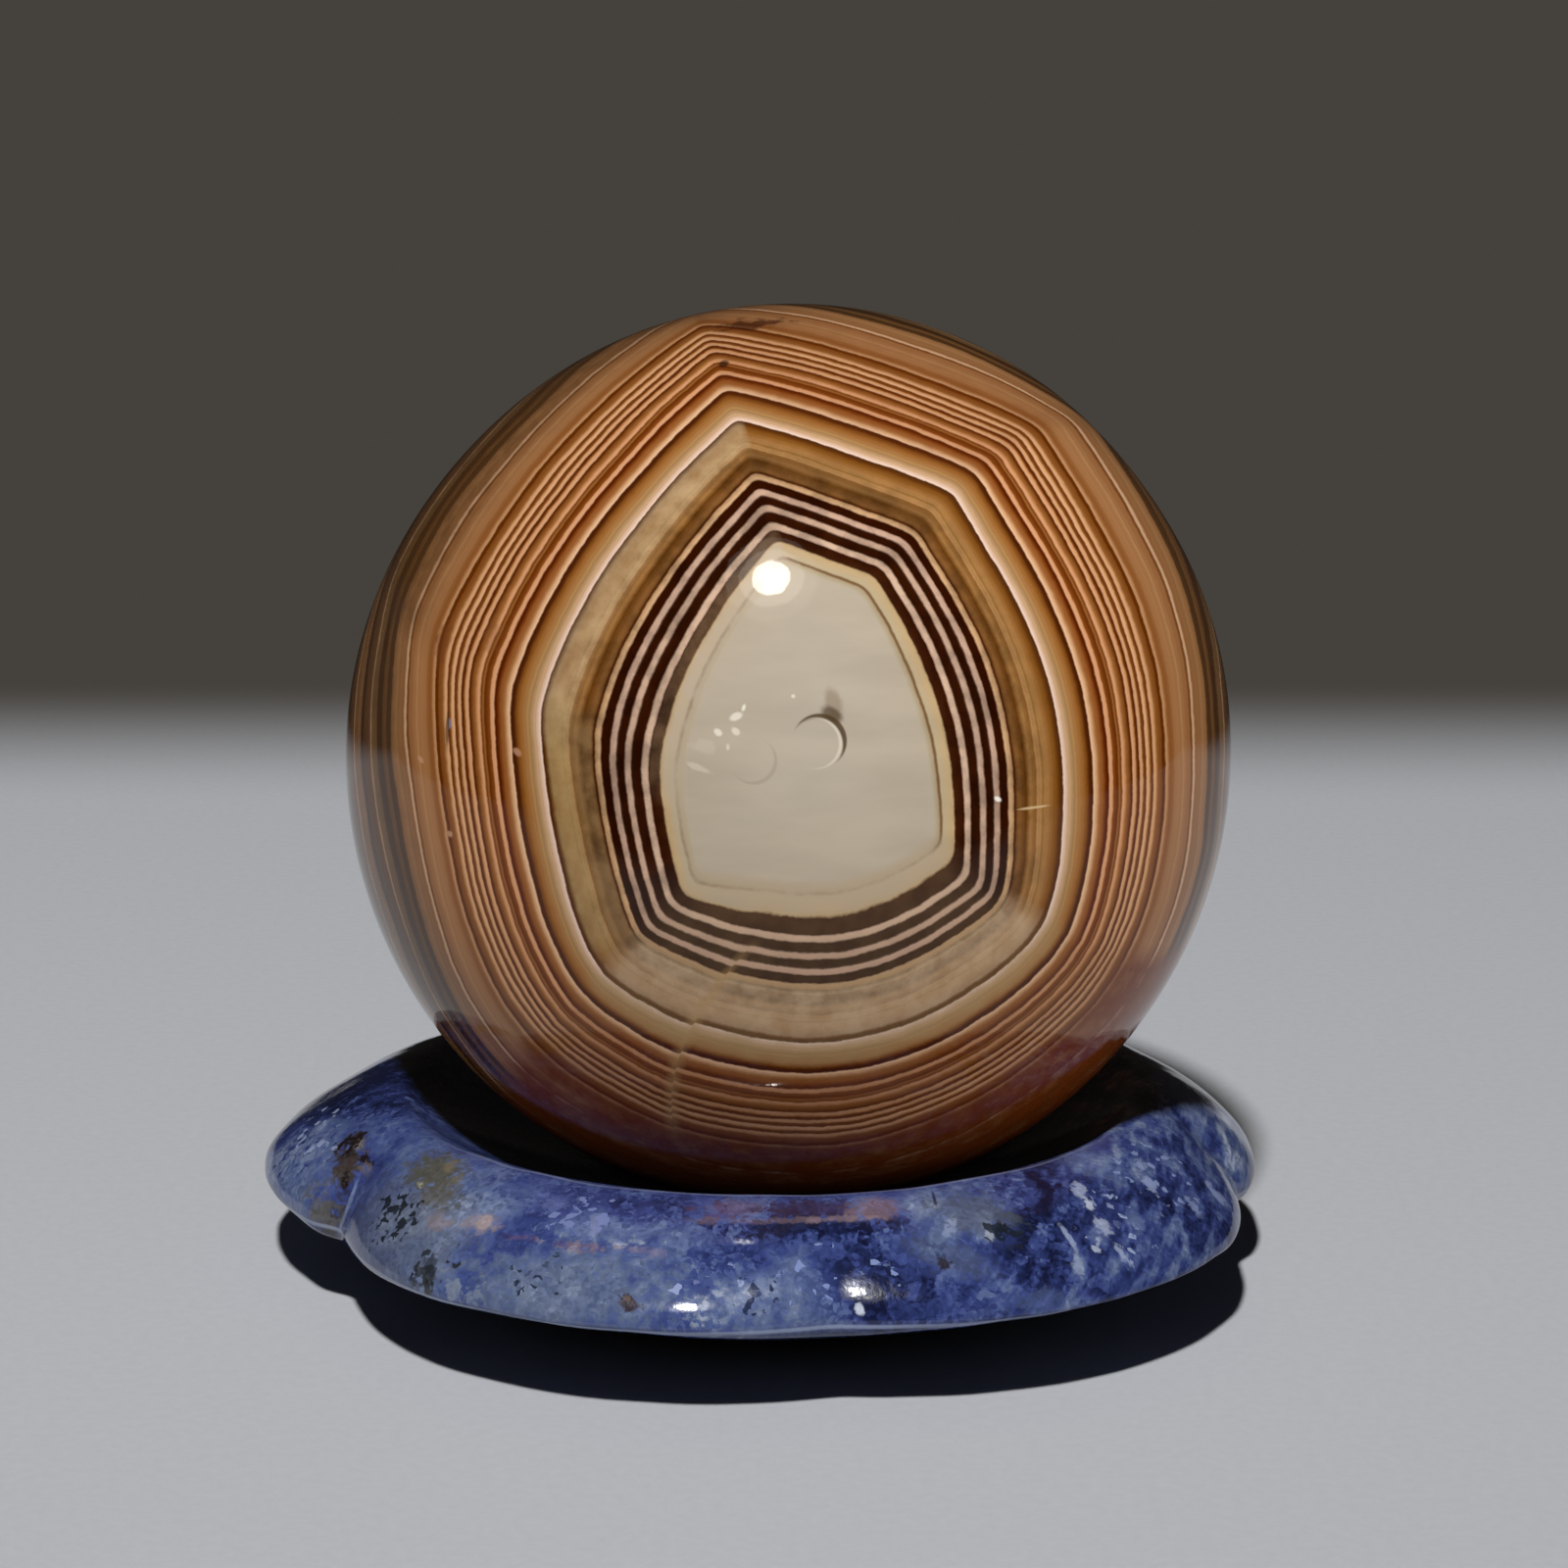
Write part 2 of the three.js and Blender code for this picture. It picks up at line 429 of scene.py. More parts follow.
most_stops = 32  # that one colour ramp can hold

stops = []
for (start, inner, outer), (end, _, _) in zip(layers, layers[1:]):
    stops.append((start + layer_softness, inner))
    stops.append((end - layer_softness, outer))
colour = None
for first in range(0, len(stops), most_stops):
    group = stops[first : first + most_stops]
    nearest, furthest = group[0][0], group[-1][0]
    share = add(tree, "MapRange", {0: depth, 1: nearest, 2: furthest})
    band = add(tree, "ValToRGB", {0: share})
    ramp = band.node.color_ramp
    for number, (position, hex_colour) in enumerate(group):
        position = (position - nearest) / (furthest - nearest)
        if number == 0:
            stop = ramp.elements[0]
        elif number == len(group) - 1:
            stop = ramp.elements[-1]
        else:
            stop = ramp.elements.new(position)
        stop.position = position
        stop.color = linear(hex_colour)
    if colour is None:
        colour = band
    else:
        past = add(tree, "MapRange", {0: depth, 1: stops[first - 1][0], 2: nearest})
        colour = add(tree, "Mix", {0: past, 6: colour, 7: band}, data_type="RGBA").node.outputs[2]

# Growth lines, finer than the layers: brightness along the depth alone, a tenth up or
# down. The grey core has none.
growth_lines_per_mm = 7.0
lines = add(
    tree,
    "TexNoise",
    {"W": depth, "Scale": growth_lines_per_mm, "Detail": 3.0, "Roughness": 0.7},
    noise_dimensions="1D",
)
lines = add(tree, "MapRange", {0: lines, 1: 0.25, 2: 0.75, 3: 0.84, 4: 1.16})
lined = add(tree, "VectorMath", {0: colour, "Scale": lines}, operation="SCALE")
outside_core = add(tree, "MapRange", {0: depth, 1: -2.3, 2: 0.3})
colour = add(
    tree, "Mix", {0: outside_core, 6: colour, 7: lined}, data_type="RGBA"
).node.outputs[2]

# Faint clouds and level streaks in the grey core.
streaks_per_mm = 0.7  # one above the other
streak_length = 4  # times its height
flatter = (1 / streak_length, 1 / streak_length, 1)
streaks = add(tree, "Mapping", {0: place, 3: flatter})
streaks = add(tree, "TexNoise", {"Vector": streaks, "Scale": streaks_per_mm, "Detail": 3.0})
streaks = add(tree, "MapRange", {0: streaks, 1: 0.35, 2: 0.65, 3: 0.95, 4: 1.05})
streaked = add(tree, "VectorMath", {0: colour, "Scale": streaks}, operation="SCALE")
colour = add(
    tree, "Mix", {0: outside_core, 6: streaked, 7: colour}, data_type="RGBA"
).node.outputs[2]

# Veils: chalcedony over some walls is milky or clearer. A few dark ones are partly painted shade,
# each marked.
# Each has a wall, the depths between which it lies, its strength and its tone.
smoke_clouds_per_mm = 0.8
smoke = add(
    tree,
    "TexNoise",
    {"Vector": place, "Scale": smoke_clouds_per_mm, "Detail": 5.0, "Roughness": 0.6},
)
veil_smoke = add(tree, "MapRange", {0: smoke, 1: 0.3, 2: 0.7, 3: 0.6, 4: 1.35})
wall_shares = []
for wall_depth in wall_depths[:-1]:
    ahead = add(tree, "Math", {0: true_depth, 1: wall_depth}, operation="SUBTRACT")
    wall_shares.append(add(tree, "MapRange", {0: ahead, 1: 0.3, 2: 0.05}))
on_right, on_upper_right, on_upper_left, on_left = wall_shares
veils_and_painted_shade = (
    (on_bottom, -3.3, -3.05, -2.35, -2.25, 0.8, "AA9880"),
    (on_bottom, -2.6, -2.2, 0.0, 0.1, 0.14, "7C6746"),
    (on_bottom, -0.2, -0.12, 0.2, 0.25, 0.6, "A08462"),
    (on_bottom, 0.0, 0.2, 1.7, 1.8, 0.5, "BCA486"),
    (on_bottom, 1.7, 1.78, 1.94, 1.97, 0.35, "7A5E38"),
    (on_bottom, 1.9, 2.0, 2.7, 2.9, 0.5, "A2855C"),
    (on_bottom, 3.1, 3.3, 5.0, 6.5, 0.3, "7A4A20"),
    # Darker red-brown over the bottom wall's outer layers: partly the stone's own colour, partly
    # painted shade where the ball faces down into the dish.
    (on_bottom, 5.6, 6.6, 20.0, 21.0, 0.92, "6E320E"),
    (on_upper_left, -3.2, -2.9, -2.4, -2.25, 0.7, "B0A08C"),
    (on_upper_left, -2.3, -2.22, -1.93, -1.87, 0.3, "80684E"),
    (on_upper_left, 0.8, 1.1, 1.75, 1.95, 0.5, "BCA27C"),
    # Darker over the upper left wall's outer layers: partly the rind's own streaks, partly painted
    # shade on that side of the ball.
    (on_upper_left, 6.4, 8.0, 20.0, 21.0, 0.55, "4C3018"),
    (on_left, -3.2, -2.9, -2.6, -2.5, 0.6, "AC9C84"),
    (on_left, 0.9, 1.05, 1.7, 1.85, 0.6, "A0865A"),
    (on_left, 0.1, 0.2, 0.85, 0.95, 0.5, "7A6242"),
    # Darker over the left wall's outer layers: partly the rind's own streaks, partly painted shade
    # on that side of the ball.
    (on_left, 7.2, 8.4, 20.0, 21.0, 0.4, "4A382C"),
    (on_upper_right, 0.1, 0.3, 0.8, 1.0, 0.4, "54381C"),
    (on_upper_right, 2.2, 3.0, 7.0, 8.0, 0.22, "5A2A10"),
    (on_right, 8.0, 9.5, 20.0, 21.0, 0.3, "5A4030"),
)
for wall_share, start, full, thinning, end, strength, tone in veils_and_painted_shade:
    rising = add(tree, "MapRange", {0: depth, 1: start, 2: full})
    falling = add(tree, "MapRange", {0: depth, 1: end, 2: thinning})
    share = add(tree, "Math", {0: rising, 1: falling}, operation="MULTIPLY")
    share = add(tree, "Math", {0: share, 1: wall_share}, operation="MULTIPLY")
    share = add(tree, "Math", {0: share, 1: veil_smoke}, operation="MULTIPLY")
    share = add(tree, "Math", {0: share, 1: strength}, operation="MULTIPLY")
    colour = add(
        tree, "Mix", {0: share, 6: colour, 7: linear(tone)}, data_type="RGBA"
    ).node.outputs[2]

# Smoke: brown clouds darken the zones on both sides of the dark group's outer lines.
smoky = add(tree, "MapRange", {0: smoke, 1: 0.36, 2: 0.6, 3: 0.62, 4: 1.1})
smoked = add(tree, "VectorMath", {0: colour, "Scale": smoky}, operation="SCALE")
rising = add(tree, "MapRange", {0: depth, 1: -2.4, 2: -2.2})
falling = add(tree, "MapRange", {0: depth, 1: 1.8, 2: 0.5})
share = add(tree, "Math", {0: rising, 1: falling}, operation="MULTIPLY")
off_bottom = add(tree, "MapRange", {0: on_bottom, 3: 1.0, 4: 0.3})
share = add(tree, "Math", {0: share, 1: off_bottom}, operation="MULTIPLY")
colour = add(
    tree, "Mix", {0: share, 6: colour, 7: smoked}, data_type="RGBA"
).node.outputs[2]

# The crack itself healed with light chalcedony, and is whitest where it is narrow.
crack_tone = "AA8658"
crack = add(tree, "Math", {0: off_crack}, operation="ABSOLUTE")
crack = add(tree, "Math", {0: smoke, 1: 0.9, 2: crack}, operation="MULTIPLY_ADD")
crack = add(tree, "MapRange", {0: crack, 1: 0.9, 2: 0.5, 4: 0.45})
crack = add(tree, "Math", {0: crack, 1: near_crack}, operation="MULTIPLY")
colour = add(
    tree, "Mix", {0: crack, 6: colour, 7: linear(crack_tone)}, data_type="RGBA"
).node.outputs[2]


def turned_places(tree, place, bodies):
    """The place as seen along each turn about Y that the small bodies need, in degrees."""
    return {
        turn: add(tree, "Mapping", {0: place, 2: (0, math.radians(-turn), 0)})
        for turn in sorted({body[2] for body in bodies})
    }


def body_share(tree, places, body, rag):
    """How much of a point is in a small body: its middle and half sizes in mm, its turn
    about Y, how ragged its edge is and its greatest share."""
    middle, size, turn, ragged_by, greatest = body[:5]
    middle = Matrix.Rotation(math.radians(-turn), 3, "Y") @ Vector(middle)
    finer = [1 / half for half in size]
    back = [-along / half for along, half in zip(middle, size)]
    inside = add(tree, "VectorMath", {0: places[turn], 1: finer, 2: back}, operation="MULTIPLY_ADD")
    inside = add(tree, "VectorMath", {0: inside}, operation="LENGTH")
    inside = add(tree, "Math", {0: ragged_by, 1: rag, 2: inside}, operation="MULTIPLY_ADD")
    return add(
        tree,
        "MapRange",
        {0: inside, 1: 1.4, 2: 0.6, 4: greatest},
        interpolation_type="SMOOTHSTEP",
    )


# Flaws near the surface, from the ball's middle in mm: inclusions of iron oxide, small
# pits, and pale healed flecks in the core.
ragged_edges_per_mm = 1.3
rag = add(tree, "TexNoise", {"Vector": place, "Scale": ragged_edges_per_mm, "Detail": 4.0})
rag = add(tree, "Math", {0: rag, 1: 0.5}, operation="SUBTRACT")
flaws = (  # middle, half sizes, turn, raggedness, strength, tone
    ((-1.9, -3.9, 22.3), (1.4, 0.9, 0.6), 0, 3.0, 0.8, "3A1408"),
    ((-3.1, -8.2, 20.9), (0.25, 0.4, 0.25), 0, 1.0, 0.8, "2A1206"),
    ((-16.1, -14.9, 4.6), (0.1, 0.6, 0.22), 0, 1.0, 0.6, "8E8894"),
    ((-16.2, -14.9, 4.2), (0.09, 0.5, 0.9), 0, 1.0, 0.7, "2A1A10"),
    ((-12.7, -18.0, 3.9), (0.22, 0.4, 0.14), 35, 1.0, 0.8, "B08060"),
    ((-17.6, -13.6, 2.6), (0.2, 0.4, 0.12), 35, 1.0, 0.8, "C09070"),
    ((-16.1, -15.5, -0.6), (0.14, 0.4, 0.14), 0, 1.0, 0.7, "C09070"),
    ((9.7, -20.1, 2.1), (0.2, 0.4, 0.12), 35, 1.0, 0.9, "F0E8DC"),
    ((11.4, -19.2, 1.5), (0.85, 0.7, 0.06), 0, 0.6, 0.6, "D8BE90"),
    ((2.08, -21.4, 6.85), (0.36, 0.7, 0.8), -12, 1.0, 0.6, "80705A"),
    ((1.98, -21.4, 6.38), (0.5, 0.7, 0.3), 30, 0.6, 0.8, "4E3E2A"),
    ((-2.07, -21.6, 6.68), (0.09, 0.7, 0.17), 20, 0.6, 0.8, "E4DCCC"),
    ((-2.4, -21.6, 6.27), (0.26, 0.7, 0.15), -20, 1.6, 0.75, "E0D6C6"),
    ((-3.26, -21.6, 5.55), (0.2, 0.7, 0.14), 35, 1.4, 0.75, "E0D6C6"),
    ((-2.43, -21.6, 5.6), (0.2, 0.7, 0.15), 35, 1.4, 0.7, "DDD2C0"),
    ((-2.8, -21.6, 4.9), (0.09, 0.7, 0.15), 0, 0.6, 0.6, "D6CCBA"),
    ((0.2, -21.6, 7.2), (0.1, 0.7, 0.09), 0, 0.6, 0.7, "E0D6C6"),
    ((-4.2, -21.6, 3.95), (0.6, 0.7, 0.13), 20, 2.4, 0.45, "CFC4B0"),
    ((-3.9, -21.6, 4.9), (0.5, 0.7, 0.3), 0, 3.0, 0.25, "C8BCA8"),
    ((-16.5, -12.7, 8.2), (0.5, 0.7, 1.2), 0, 3.0, 0.5, "6E3A1C"),
    ((-13.9, -15.0, 9.0), (0.5, 0.7, 0.8), 0, 3.0, 0.35, "7A4A28"),
)
places = turned_places(tree, place, flaws)
for flaw in flaws:
    share = body_share(tree, places, flaw, rag)
    colour = add(
        tree, "Mix", {0: share, 6: colour, 7: linear(flaw[5])}, data_type="RGBA"
    ).node.outputs[2]

# Two round nicks in the core, each seen as a crescent: a disc less another one beside it.
crescents = (  # middle and radius in mm, how far the other disc is moved, strength, tone
    ((1.42, -21.7, 5.2), 1.24, (-0.17, 0, -0.22), 0.9, "4A3822"),
    ((1.27, -21.7, 5.08), 1.17, (-0.12, 0, -0.02), 0.6, "D8CEBC"),
    ((-1.58, -21.7, 4.23), 1.08, (-0.12, 0, 0.12), 0.4, "8A7F6E"),
)
for middle, radius, moved, strength, tone in crescents:
    disc = add(tree, "VectorMath", {0: place, 1: middle}, operation="DISTANCE")
    disc = add(tree, "MapRange", {0: disc, 1: radius + 0.05, 2: radius - 0.03, 4: strength})
    beside = [a + b for a, b in zip(middle, moved)]
    beside = add(tree, "VectorMath", {0: place, 1: beside}, operation="DISTANCE")
    beside = add(tree, "MapRange", {0: beside, 1: radius - 0.06, 2: radius + 0.04})
    share = add(tree, "Math", {0: disc, 1: beside}, operation="MULTIPLY")
    colour = add(
        tree, "Mix", {0: share, 6: colour, 7: linear(tone)}, data_type="RGBA"
    ).node.outputs[2]

# Polishing by hand leaves the surface rolling by some thousandths of a millimetre. Agate's
# index is 1.54, and the lower one is matched to how faintly the ball mirrors.
rolls_per_mm = 1.6
roll_height = 0.0025  # mm
mirror_tone = "FFF3E4"
rolling = add(tree, "TexNoise", {"Vector": place, "Scale": rolls_per_mm, "Detail": 2.0})
rolling = add(tree, "Bump", {"Strength": 1.0, "Distance": roll_height * mm, "Height": rolling})
gloss = add(
    tree,
    "BsdfPrincipled",
    {
        "Base Color": colour,
        "Roughness": 0.035,
        "IOR": 1.38,
        "Specular Tint": linear(mirror_tone),
        "Normal": rolling,
    },
)
add(tree, "OutputMaterial", {"Surface": gloss})
ball.data.materials.append(agate)
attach(ball, "root")
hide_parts("agate_ball")

# The fills stand for the light that the room gives back to the ball. They are kept off the
# table, where the lamp's shadow stays dark.
lit_by_fills = bpy.data.collections.new("lit_by_fills")
lit_by_fills.objects.link(ball)
for fill in fills:
    fill.light_linking.receiver_collection = lit_by_fills


# Stand
# One piece of sodalite, carved as a flower with five petals around a shallow dish and
# polished. The ball lies in the dish. Grooves between the petals run out at the crest.

petals = (  # mm: angle of the tip from +X in degrees, reach of the tip, radius of its edge
    (23, 25.7, 20.0),
    (97, 26.2, 17.7),
    (168, 26.6, 17.5),
    (245, 26.1, 18.0),
    (312, 26.5, 18.0),
)
columns_per_petal = 26
foot_radius = 13.0
underside_slope = math.tan(math.radians(19))
edge_rounding = 0.8
edge_height = 4.75
flank_roundness = 0.3
crest_radius = 19.4
crest_height = 9.3
crest_rounding = ((18.95, 9.28), (18.45, 9.08))  # radius and height of the rings inside it
dish_edge_radius = 18.0
dish_edge_height = 8.7
dish_floor = 3.5
flank_rings = 9
dish_rings = 8
rounding_rings = (0.3, 0.65, 1.0)  # shares of the way round under the edge
cone_rings = (0.5, 1.0)  # shares of the way in to the foot
foot_ring = 0.9  # inner radius of the ring round the foot's face, as a share of the foot's


def edge_reach(angle):
    """Distance from the stand's axis to the petals' edge, in mm, at an angle in radians."""
    reaches = []
    for tip_angle, reach, disc in petals:
        offset = reach - disc
        turned = angle - math.radians(tip_angle)
        across = offset * math.sin(turned)
        reaches.append(offset * math.cos(turned) + math.sqrt(disc**2 - across**2))
    return max(reaches)


def notch_angle(petal, following):
    """Angle in radians at which the edge discs of two neighbouring petals cross."""
    (angle, reach, disc), (next_angle, next_reach, next_disc) = petal, following
    centre = (reach - disc) * Vector((math.cos(math.radians(angle)), math.sin(math.radians(angle))))
    next_centre = (next_reach - next_disc) * Vector(
        (math.cos(math.radians(next_angle)), math.sin(math.radians(next_angle)))
    )
    between = next_centre - centre
    along = (disc**2 - next_disc**2 + between.length**2) / (2 * between.length)
    outward = math.sqrt(disc**2 - along**2)
    unit = between.normalized()
    crossing = centre + unit * along + Vector((unit.y, -unit.x)) * outward
    return math.atan2(crossing.y, crossing.x)


notches = [notch_angle(petal, petals[(i + 1) % len(petals)]) for i, petal in enumerate(petals)]
column_angles = []
for start, end in zip(notches[-1:] + notches[:-1], notches):
    span = (end - start) % (2 * math.pi)
    column_angles += [start + span * i / columns_per_petal for i in range(columns_per_petal)]
mean_reach = sum(edge_reach(angle) for angle in column_angles) / len(column_angles)

bpy.ops.object.select_all(action="DESELECT")
bpy.ops.mesh.primitive_circle_add(
    vertices=len(column_angles), radius=mean_reach * mm, location=(0, 0, edge_height * mm)
)
stand = bpy.context.object
stand.name = "flower_stand"
bpy.ops.object.transform_apply(location=True)
for vertex, angle in zip(stand.data.vertices, column_angles):
    reach = edge_reach(angle) * mm
    vertex.co = (reach * math.cos(angle), reach * math.sin(angle), edge_height * mm)
bpy.ops.object.mode_set(mode="EDIT")
bpy.ops.mesh.select_all(action="SELECT")

# The flank: each ring is drawn in towards the crest's circle as it rises. Its section is a
# cubic curve, upright at the petals' edge and level at the crest.
ring_mean = mean_reach
petal_share = 1.0
height = edge_height
for ring in range(1, flank_rings + 1):
    t = ring / flank_rings
    share = (1 - t) ** 3 + 3 * t * (1 - t) ** 2 + 3 * flank_roundness * (1 - t) * t**2
    rise = flank_roundness * 3 * t * (1 - t) ** 2 + 3 * (1 - t) * t**2 + t**3
    next_height = edge_height + (crest_height - edge_height) * rise
    kept = share / petal_share
    drawn_in = crest_radius * (1 - kept) / ring_mean
    bpy.ops.mesh.extrude_region_move(
        TRANSFORM_OT_translate={"value": (0, 0, (next_height - height) * mm)}
    )
    middle = (0, 0, next_height * mm)
    bpy.ops.transform.tosphere(value=drawn_in / (kept + drawn_in), center_override=middle)
    bpy.ops.transform.resize(
        value=(kept + drawn_in, kept + drawn_in, 1), center_override=middle
    )
    ring_mean *= kept + drawn_in
    petal_share = share
    height = next_height

# The crest rounds over into the dish, whose rings move over to lie under the ball.
dish_drop = dish_edge_height - dish_floor
dish_sphere = (dish_edge_radius**2 + dish_drop**2) / (2 * dish_drop)
dish_angle = math.asin(dish_edge_radius / dish_sphere)
rings = [*crest_rounding, (dish_edge_radius, dish_edge_height)]
for ring in range(1, dish_rings):
    turn = dish_angle * (1 - ring / dish_rings)
    rings.append(
        (dish_sphere * math.sin(turn), dish_floor + dish_sphere * (1 - math.cos(turn)))
    )
radius = crest_radius
shift = Vector((0, 0))
for next_radius, next_height in rings:
    next_shift = Vector(ball_centre[:2]) * (1 - next_radius / crest_radius)
    bpy.ops.mesh.extrude_region_move(
        TRANSFORM_OT_translate={"value": (*(next_shift - shift) * mm, (next_height - height) * mm)}
    )
    middle = (*next_shift * mm, next_height * mm)
    shrink = next_radius / radius
    bpy.ops.transform.resize(value=(shrink, shrink, 1), center_override=middle)
    radius, height, shift = next_radius, next_height, next_shift
bpy.ops.mesh.extrude_region_move(
    TRANSFORM_OT_translate={"value": (0, 0, (dish_floor - height) * mm)}
)
bpy.ops.mesh.merge(type="CENTER")

# The underside: the edge rounds under and runs down as a cone to the foot's circle, which
# is closed with one face inside a narrow ring.
bpy.ops.mesh.select_all(action="DESELECT")
bpy.ops.mesh.select_non_manifold(extend=False)
for under in rounding_rings:
    bpy.ops.mesh.extrude_region_move()
    work = bmesh.from_edit_mesh(stand.data)
    for vertex in [vertex for vertex in work.verts if vertex.select]:
        angle = math.atan2(vertex.co.y, vertex.co.x)
        reach = edge_reach(angle)
        radius = reach - edge_rounding * under**2
        cone = underside_slope * (reach - foot_radius)
        cone_end = underside_slope * (reach - edge_rounding - foot_radius)
        height = (1 - under) ** 2 * edge_height + 2 * under * (1 - under) * cone
        height += under**2 * cone_end
        vertex.co = Vector((radius * math.cos(angle), radius * math.sin(angle), height)) * mm
    bmesh.update_edit_mesh(stand.data)
for share in cone_rings:
    bpy.ops.mesh.extrude_region_move()
    work = bmesh.from_edit_mesh(stand.data)
    for vertex in [vertex for vertex in work.verts if vertex.select]:
        angle = math.atan2(vertex.co.y, vertex.co.x)
        radius = edge_reach(angle) - edge_rounding
        radius += (foot_radius - radius) * share
        height = underside_slope * (radius - foot_radius)
        vertex.co = Vector((radius * math.cos(angle), radius * math.sin(angle), height)) * mm
    bmesh.update_edit_mesh(stand.data)
bpy.ops.mesh.extrude_region_move()
bpy.ops.transform.resize(value=(foot_ring, foot_ring, 1), center_override=(0, 0, 0))
bpy.ops.mesh.edge_face_add()
bpy.ops.mesh.select_all(action="SELECT")
bpy.ops.mesh.normals_make_consistent(inside=False)

# Grooves: the creases between the petals are sharp at the edge and fade at the crest.
# In front, a petal's edge stands over its neighbour, so the groove lies behind it.
grooves = ((0.5, 0), (0.5, 0), (0.7, -1), (0.0, 0), (0.6, 1))  # mm deep, columns past a notch
groove_end = 2.0  # mm up, the lowest that a groove reaches
groove_fade = 2.0  # mm below the crest, from where up it grows shallower
crease_fade = 3.0  # the same for how sharp it is
foot_sharpness = 0.8  # 1 keeps an edge sharp
same_column = 0.01  # radians
groove_angles = [
    column_angles[((i + 1) * columns_per_petal + side) % len(column_angles)]
    for i, (_, side) in enumerate(grooves)
]
work = bmesh.from_edit_mesh(stand.data)
for vertex in work.verts:
    angle = math.atan2(vertex.co.y, vertex.co.x)
    for groove_angle, (groove_depth, _) in zip(groove_angles, grooves):
        off = abs((angle - groove_angle + math.pi) % (2 * math.pi) - math.pi)
        outside_crest = vertex.co.xy.length > crest_radius * mm
        if off < same_column and outside_crest and vertex.co.z > groove_end * mm:
            fade = min(1.0, (crest_height * mm - vertex.co.z) / (groove_fade * mm))
            vertex.co.xy *= 1 - groove_depth * mm * fade / vertex.co.xy.length
cut_notches = [notch for notch, (depth, _) in zip(notches, grooves) if depth > 0]
crease = work.edges.layers.float.new("crease_edge")
for edge in work.edges:
    middle = (edge.verts[0].co + edge.verts[1].co) / 2 / mm
    along = edge.verts[1].co - edge.verts[0].co
    angle = math.atan2(middle.y, middle.x)
    off = min(abs((angle - notch + math.pi) % (2 * math.pi) - math.pi) for notch in cut_notches)
    if off < same_column and middle.xy.length > crest_radius and middle.z > groove_end:
        edge[crease] = min(1.0, max(0.0, (crest_height - middle.z) / crease_fade))
    by_foot = abs(middle.xy.length - foot_radius) < 0.2 and middle.z < 0.05
    if by_foot and abs(along.z) < 1e-6:
        edge[crease] = foot_sharpness
bmesh.update_edit_mesh(stand.data)
bpy.ops.object.mode_set(mode="OBJECT")
smooth = stand.modifiers.new("smooth", "SUBSURF")
smooth.levels = 2
smooth.render_levels = 2
bpy.ops.object.modifier_apply(modifier=smooth.name)

# Ground by hand: the flank and the crest are a few hundredths of a millimetre uneven.
ground_from = 18.6  # mm from the axis, so that the dish stays even
ground_above = 3.0  # mm up, so that the underside does
ground_fully = 4.5
grinding_width = 3.2  # mm across the hollows and rises
grinding_depth = 0.16  # mm between the lowest and the highest

flank = stand.vertex_groups.new(name="flank")
for vertex in stand.data.vertices:
    if vertex.co.z > ground_above * mm and vertex.co.xy.length > ground_from * mm:
        rise = (vertex.co.z / mm - ground_above) / (ground_fully - ground_above)
        rise = min(1.0, rise)
        flank.add([vertex.index], rise, "REPLACE")
uneven = bpy.data.textures.new("hand grinding", "CLOUDS")
uneven.noise_scale = grinding_width * mm
uneven.noise_depth = 0
grinding = stand.modifiers.new("grinding", "DISPLACE")
grinding.texture = uneven
grinding.texture_coords = "LOCAL"
grinding.vertex_group = flank.name
grinding.strength = grinding_depth * mm
grinding.mid_level = 0.5
bpy.ops.object.modifier_apply(modifier=grinding.name)
bpy.ops.object.shade_smooth()

# Sodalite: a blue mineral that grew as interlocked grains, cloudy from royal blue to grey,
# with white flecks and stains of iron. Ground and polished, so it keeps a wet shine.
sodalite, tree = empty_material("polished sodalite")
coordinates = add(tree, "TexCoord", {})
place = add(tree, "Mapping", {0: coordinates.node.outputs["Object"], 3: to_mm})
clouds_per_mm = 0.2
clouds = add(
    tree,
    "TexNoise",
    {"Vector": place, "Scale": clouds_per_mm, "Detail": 3.0, "Distortion": 0.3},
)
clouds = add(tree, "MapRange", {0: clouds, 1: 0.3, 2: 0.7, 3: 0.28, 4: 0.68})

# Grains: cells with ragged borders, some 0.6 mm and 0.2 mm across.
grains_per_mm = (1.6, 4.6)
border_bends_per_mm = 1.4
border_bend = 0.3  # mm
ragged = add(
    tree, "TexNoise", {"Vector": place, "Scale": border_bends_per_mm, "Detail": 0.5}
).node.outputs[1]
ragged = add(tree, "VectorMath", {0: ragged, 1: [0.5] * 3}, operation="SUBTRACT")
ragged = add(
    tree, "VectorMath", {0: ragged, 1: [border_bend] * 3, 2: place}, operation="MULTIPLY_ADD"
)
grains = []
for per_mm in grains_per_mm:
    cells = add(tree, "TexVoronoi", {"Vector": ragged, "Scale": per_mm}).node.outputs["Position"]
    grain = add(tree, "TexWhiteNoise", {"Vector": cells})
    grains.append(add(tree, "Math", {0: grain, 1: 0.5}, operation="SUBTRACT"))

# On the right, long clouds lie aslant.
cloud_slant = -52  # degrees about Y
cloud_stretch = (2.4, 1.8, 0.55)
slanting_clouds_per_mm = 0.8  # before they are stretched
slanting = add(
    tree,
    "Mapping",
    {0: place, 2: (0, math.radians(cloud_slant), 0), 3: cloud_stretch},
    vector_type="TEXTURE",
)
slanting = add(
    tree, "TexNoise", {"Vector": slanting, "Scale": slanting_clouds_per_mm, "Detail": 2.0}
)
slanting = add(tree, "MapRange", {0: slanting, 1: 0.42, 2: 0.6, 3: -0.17, 4: 0.18})
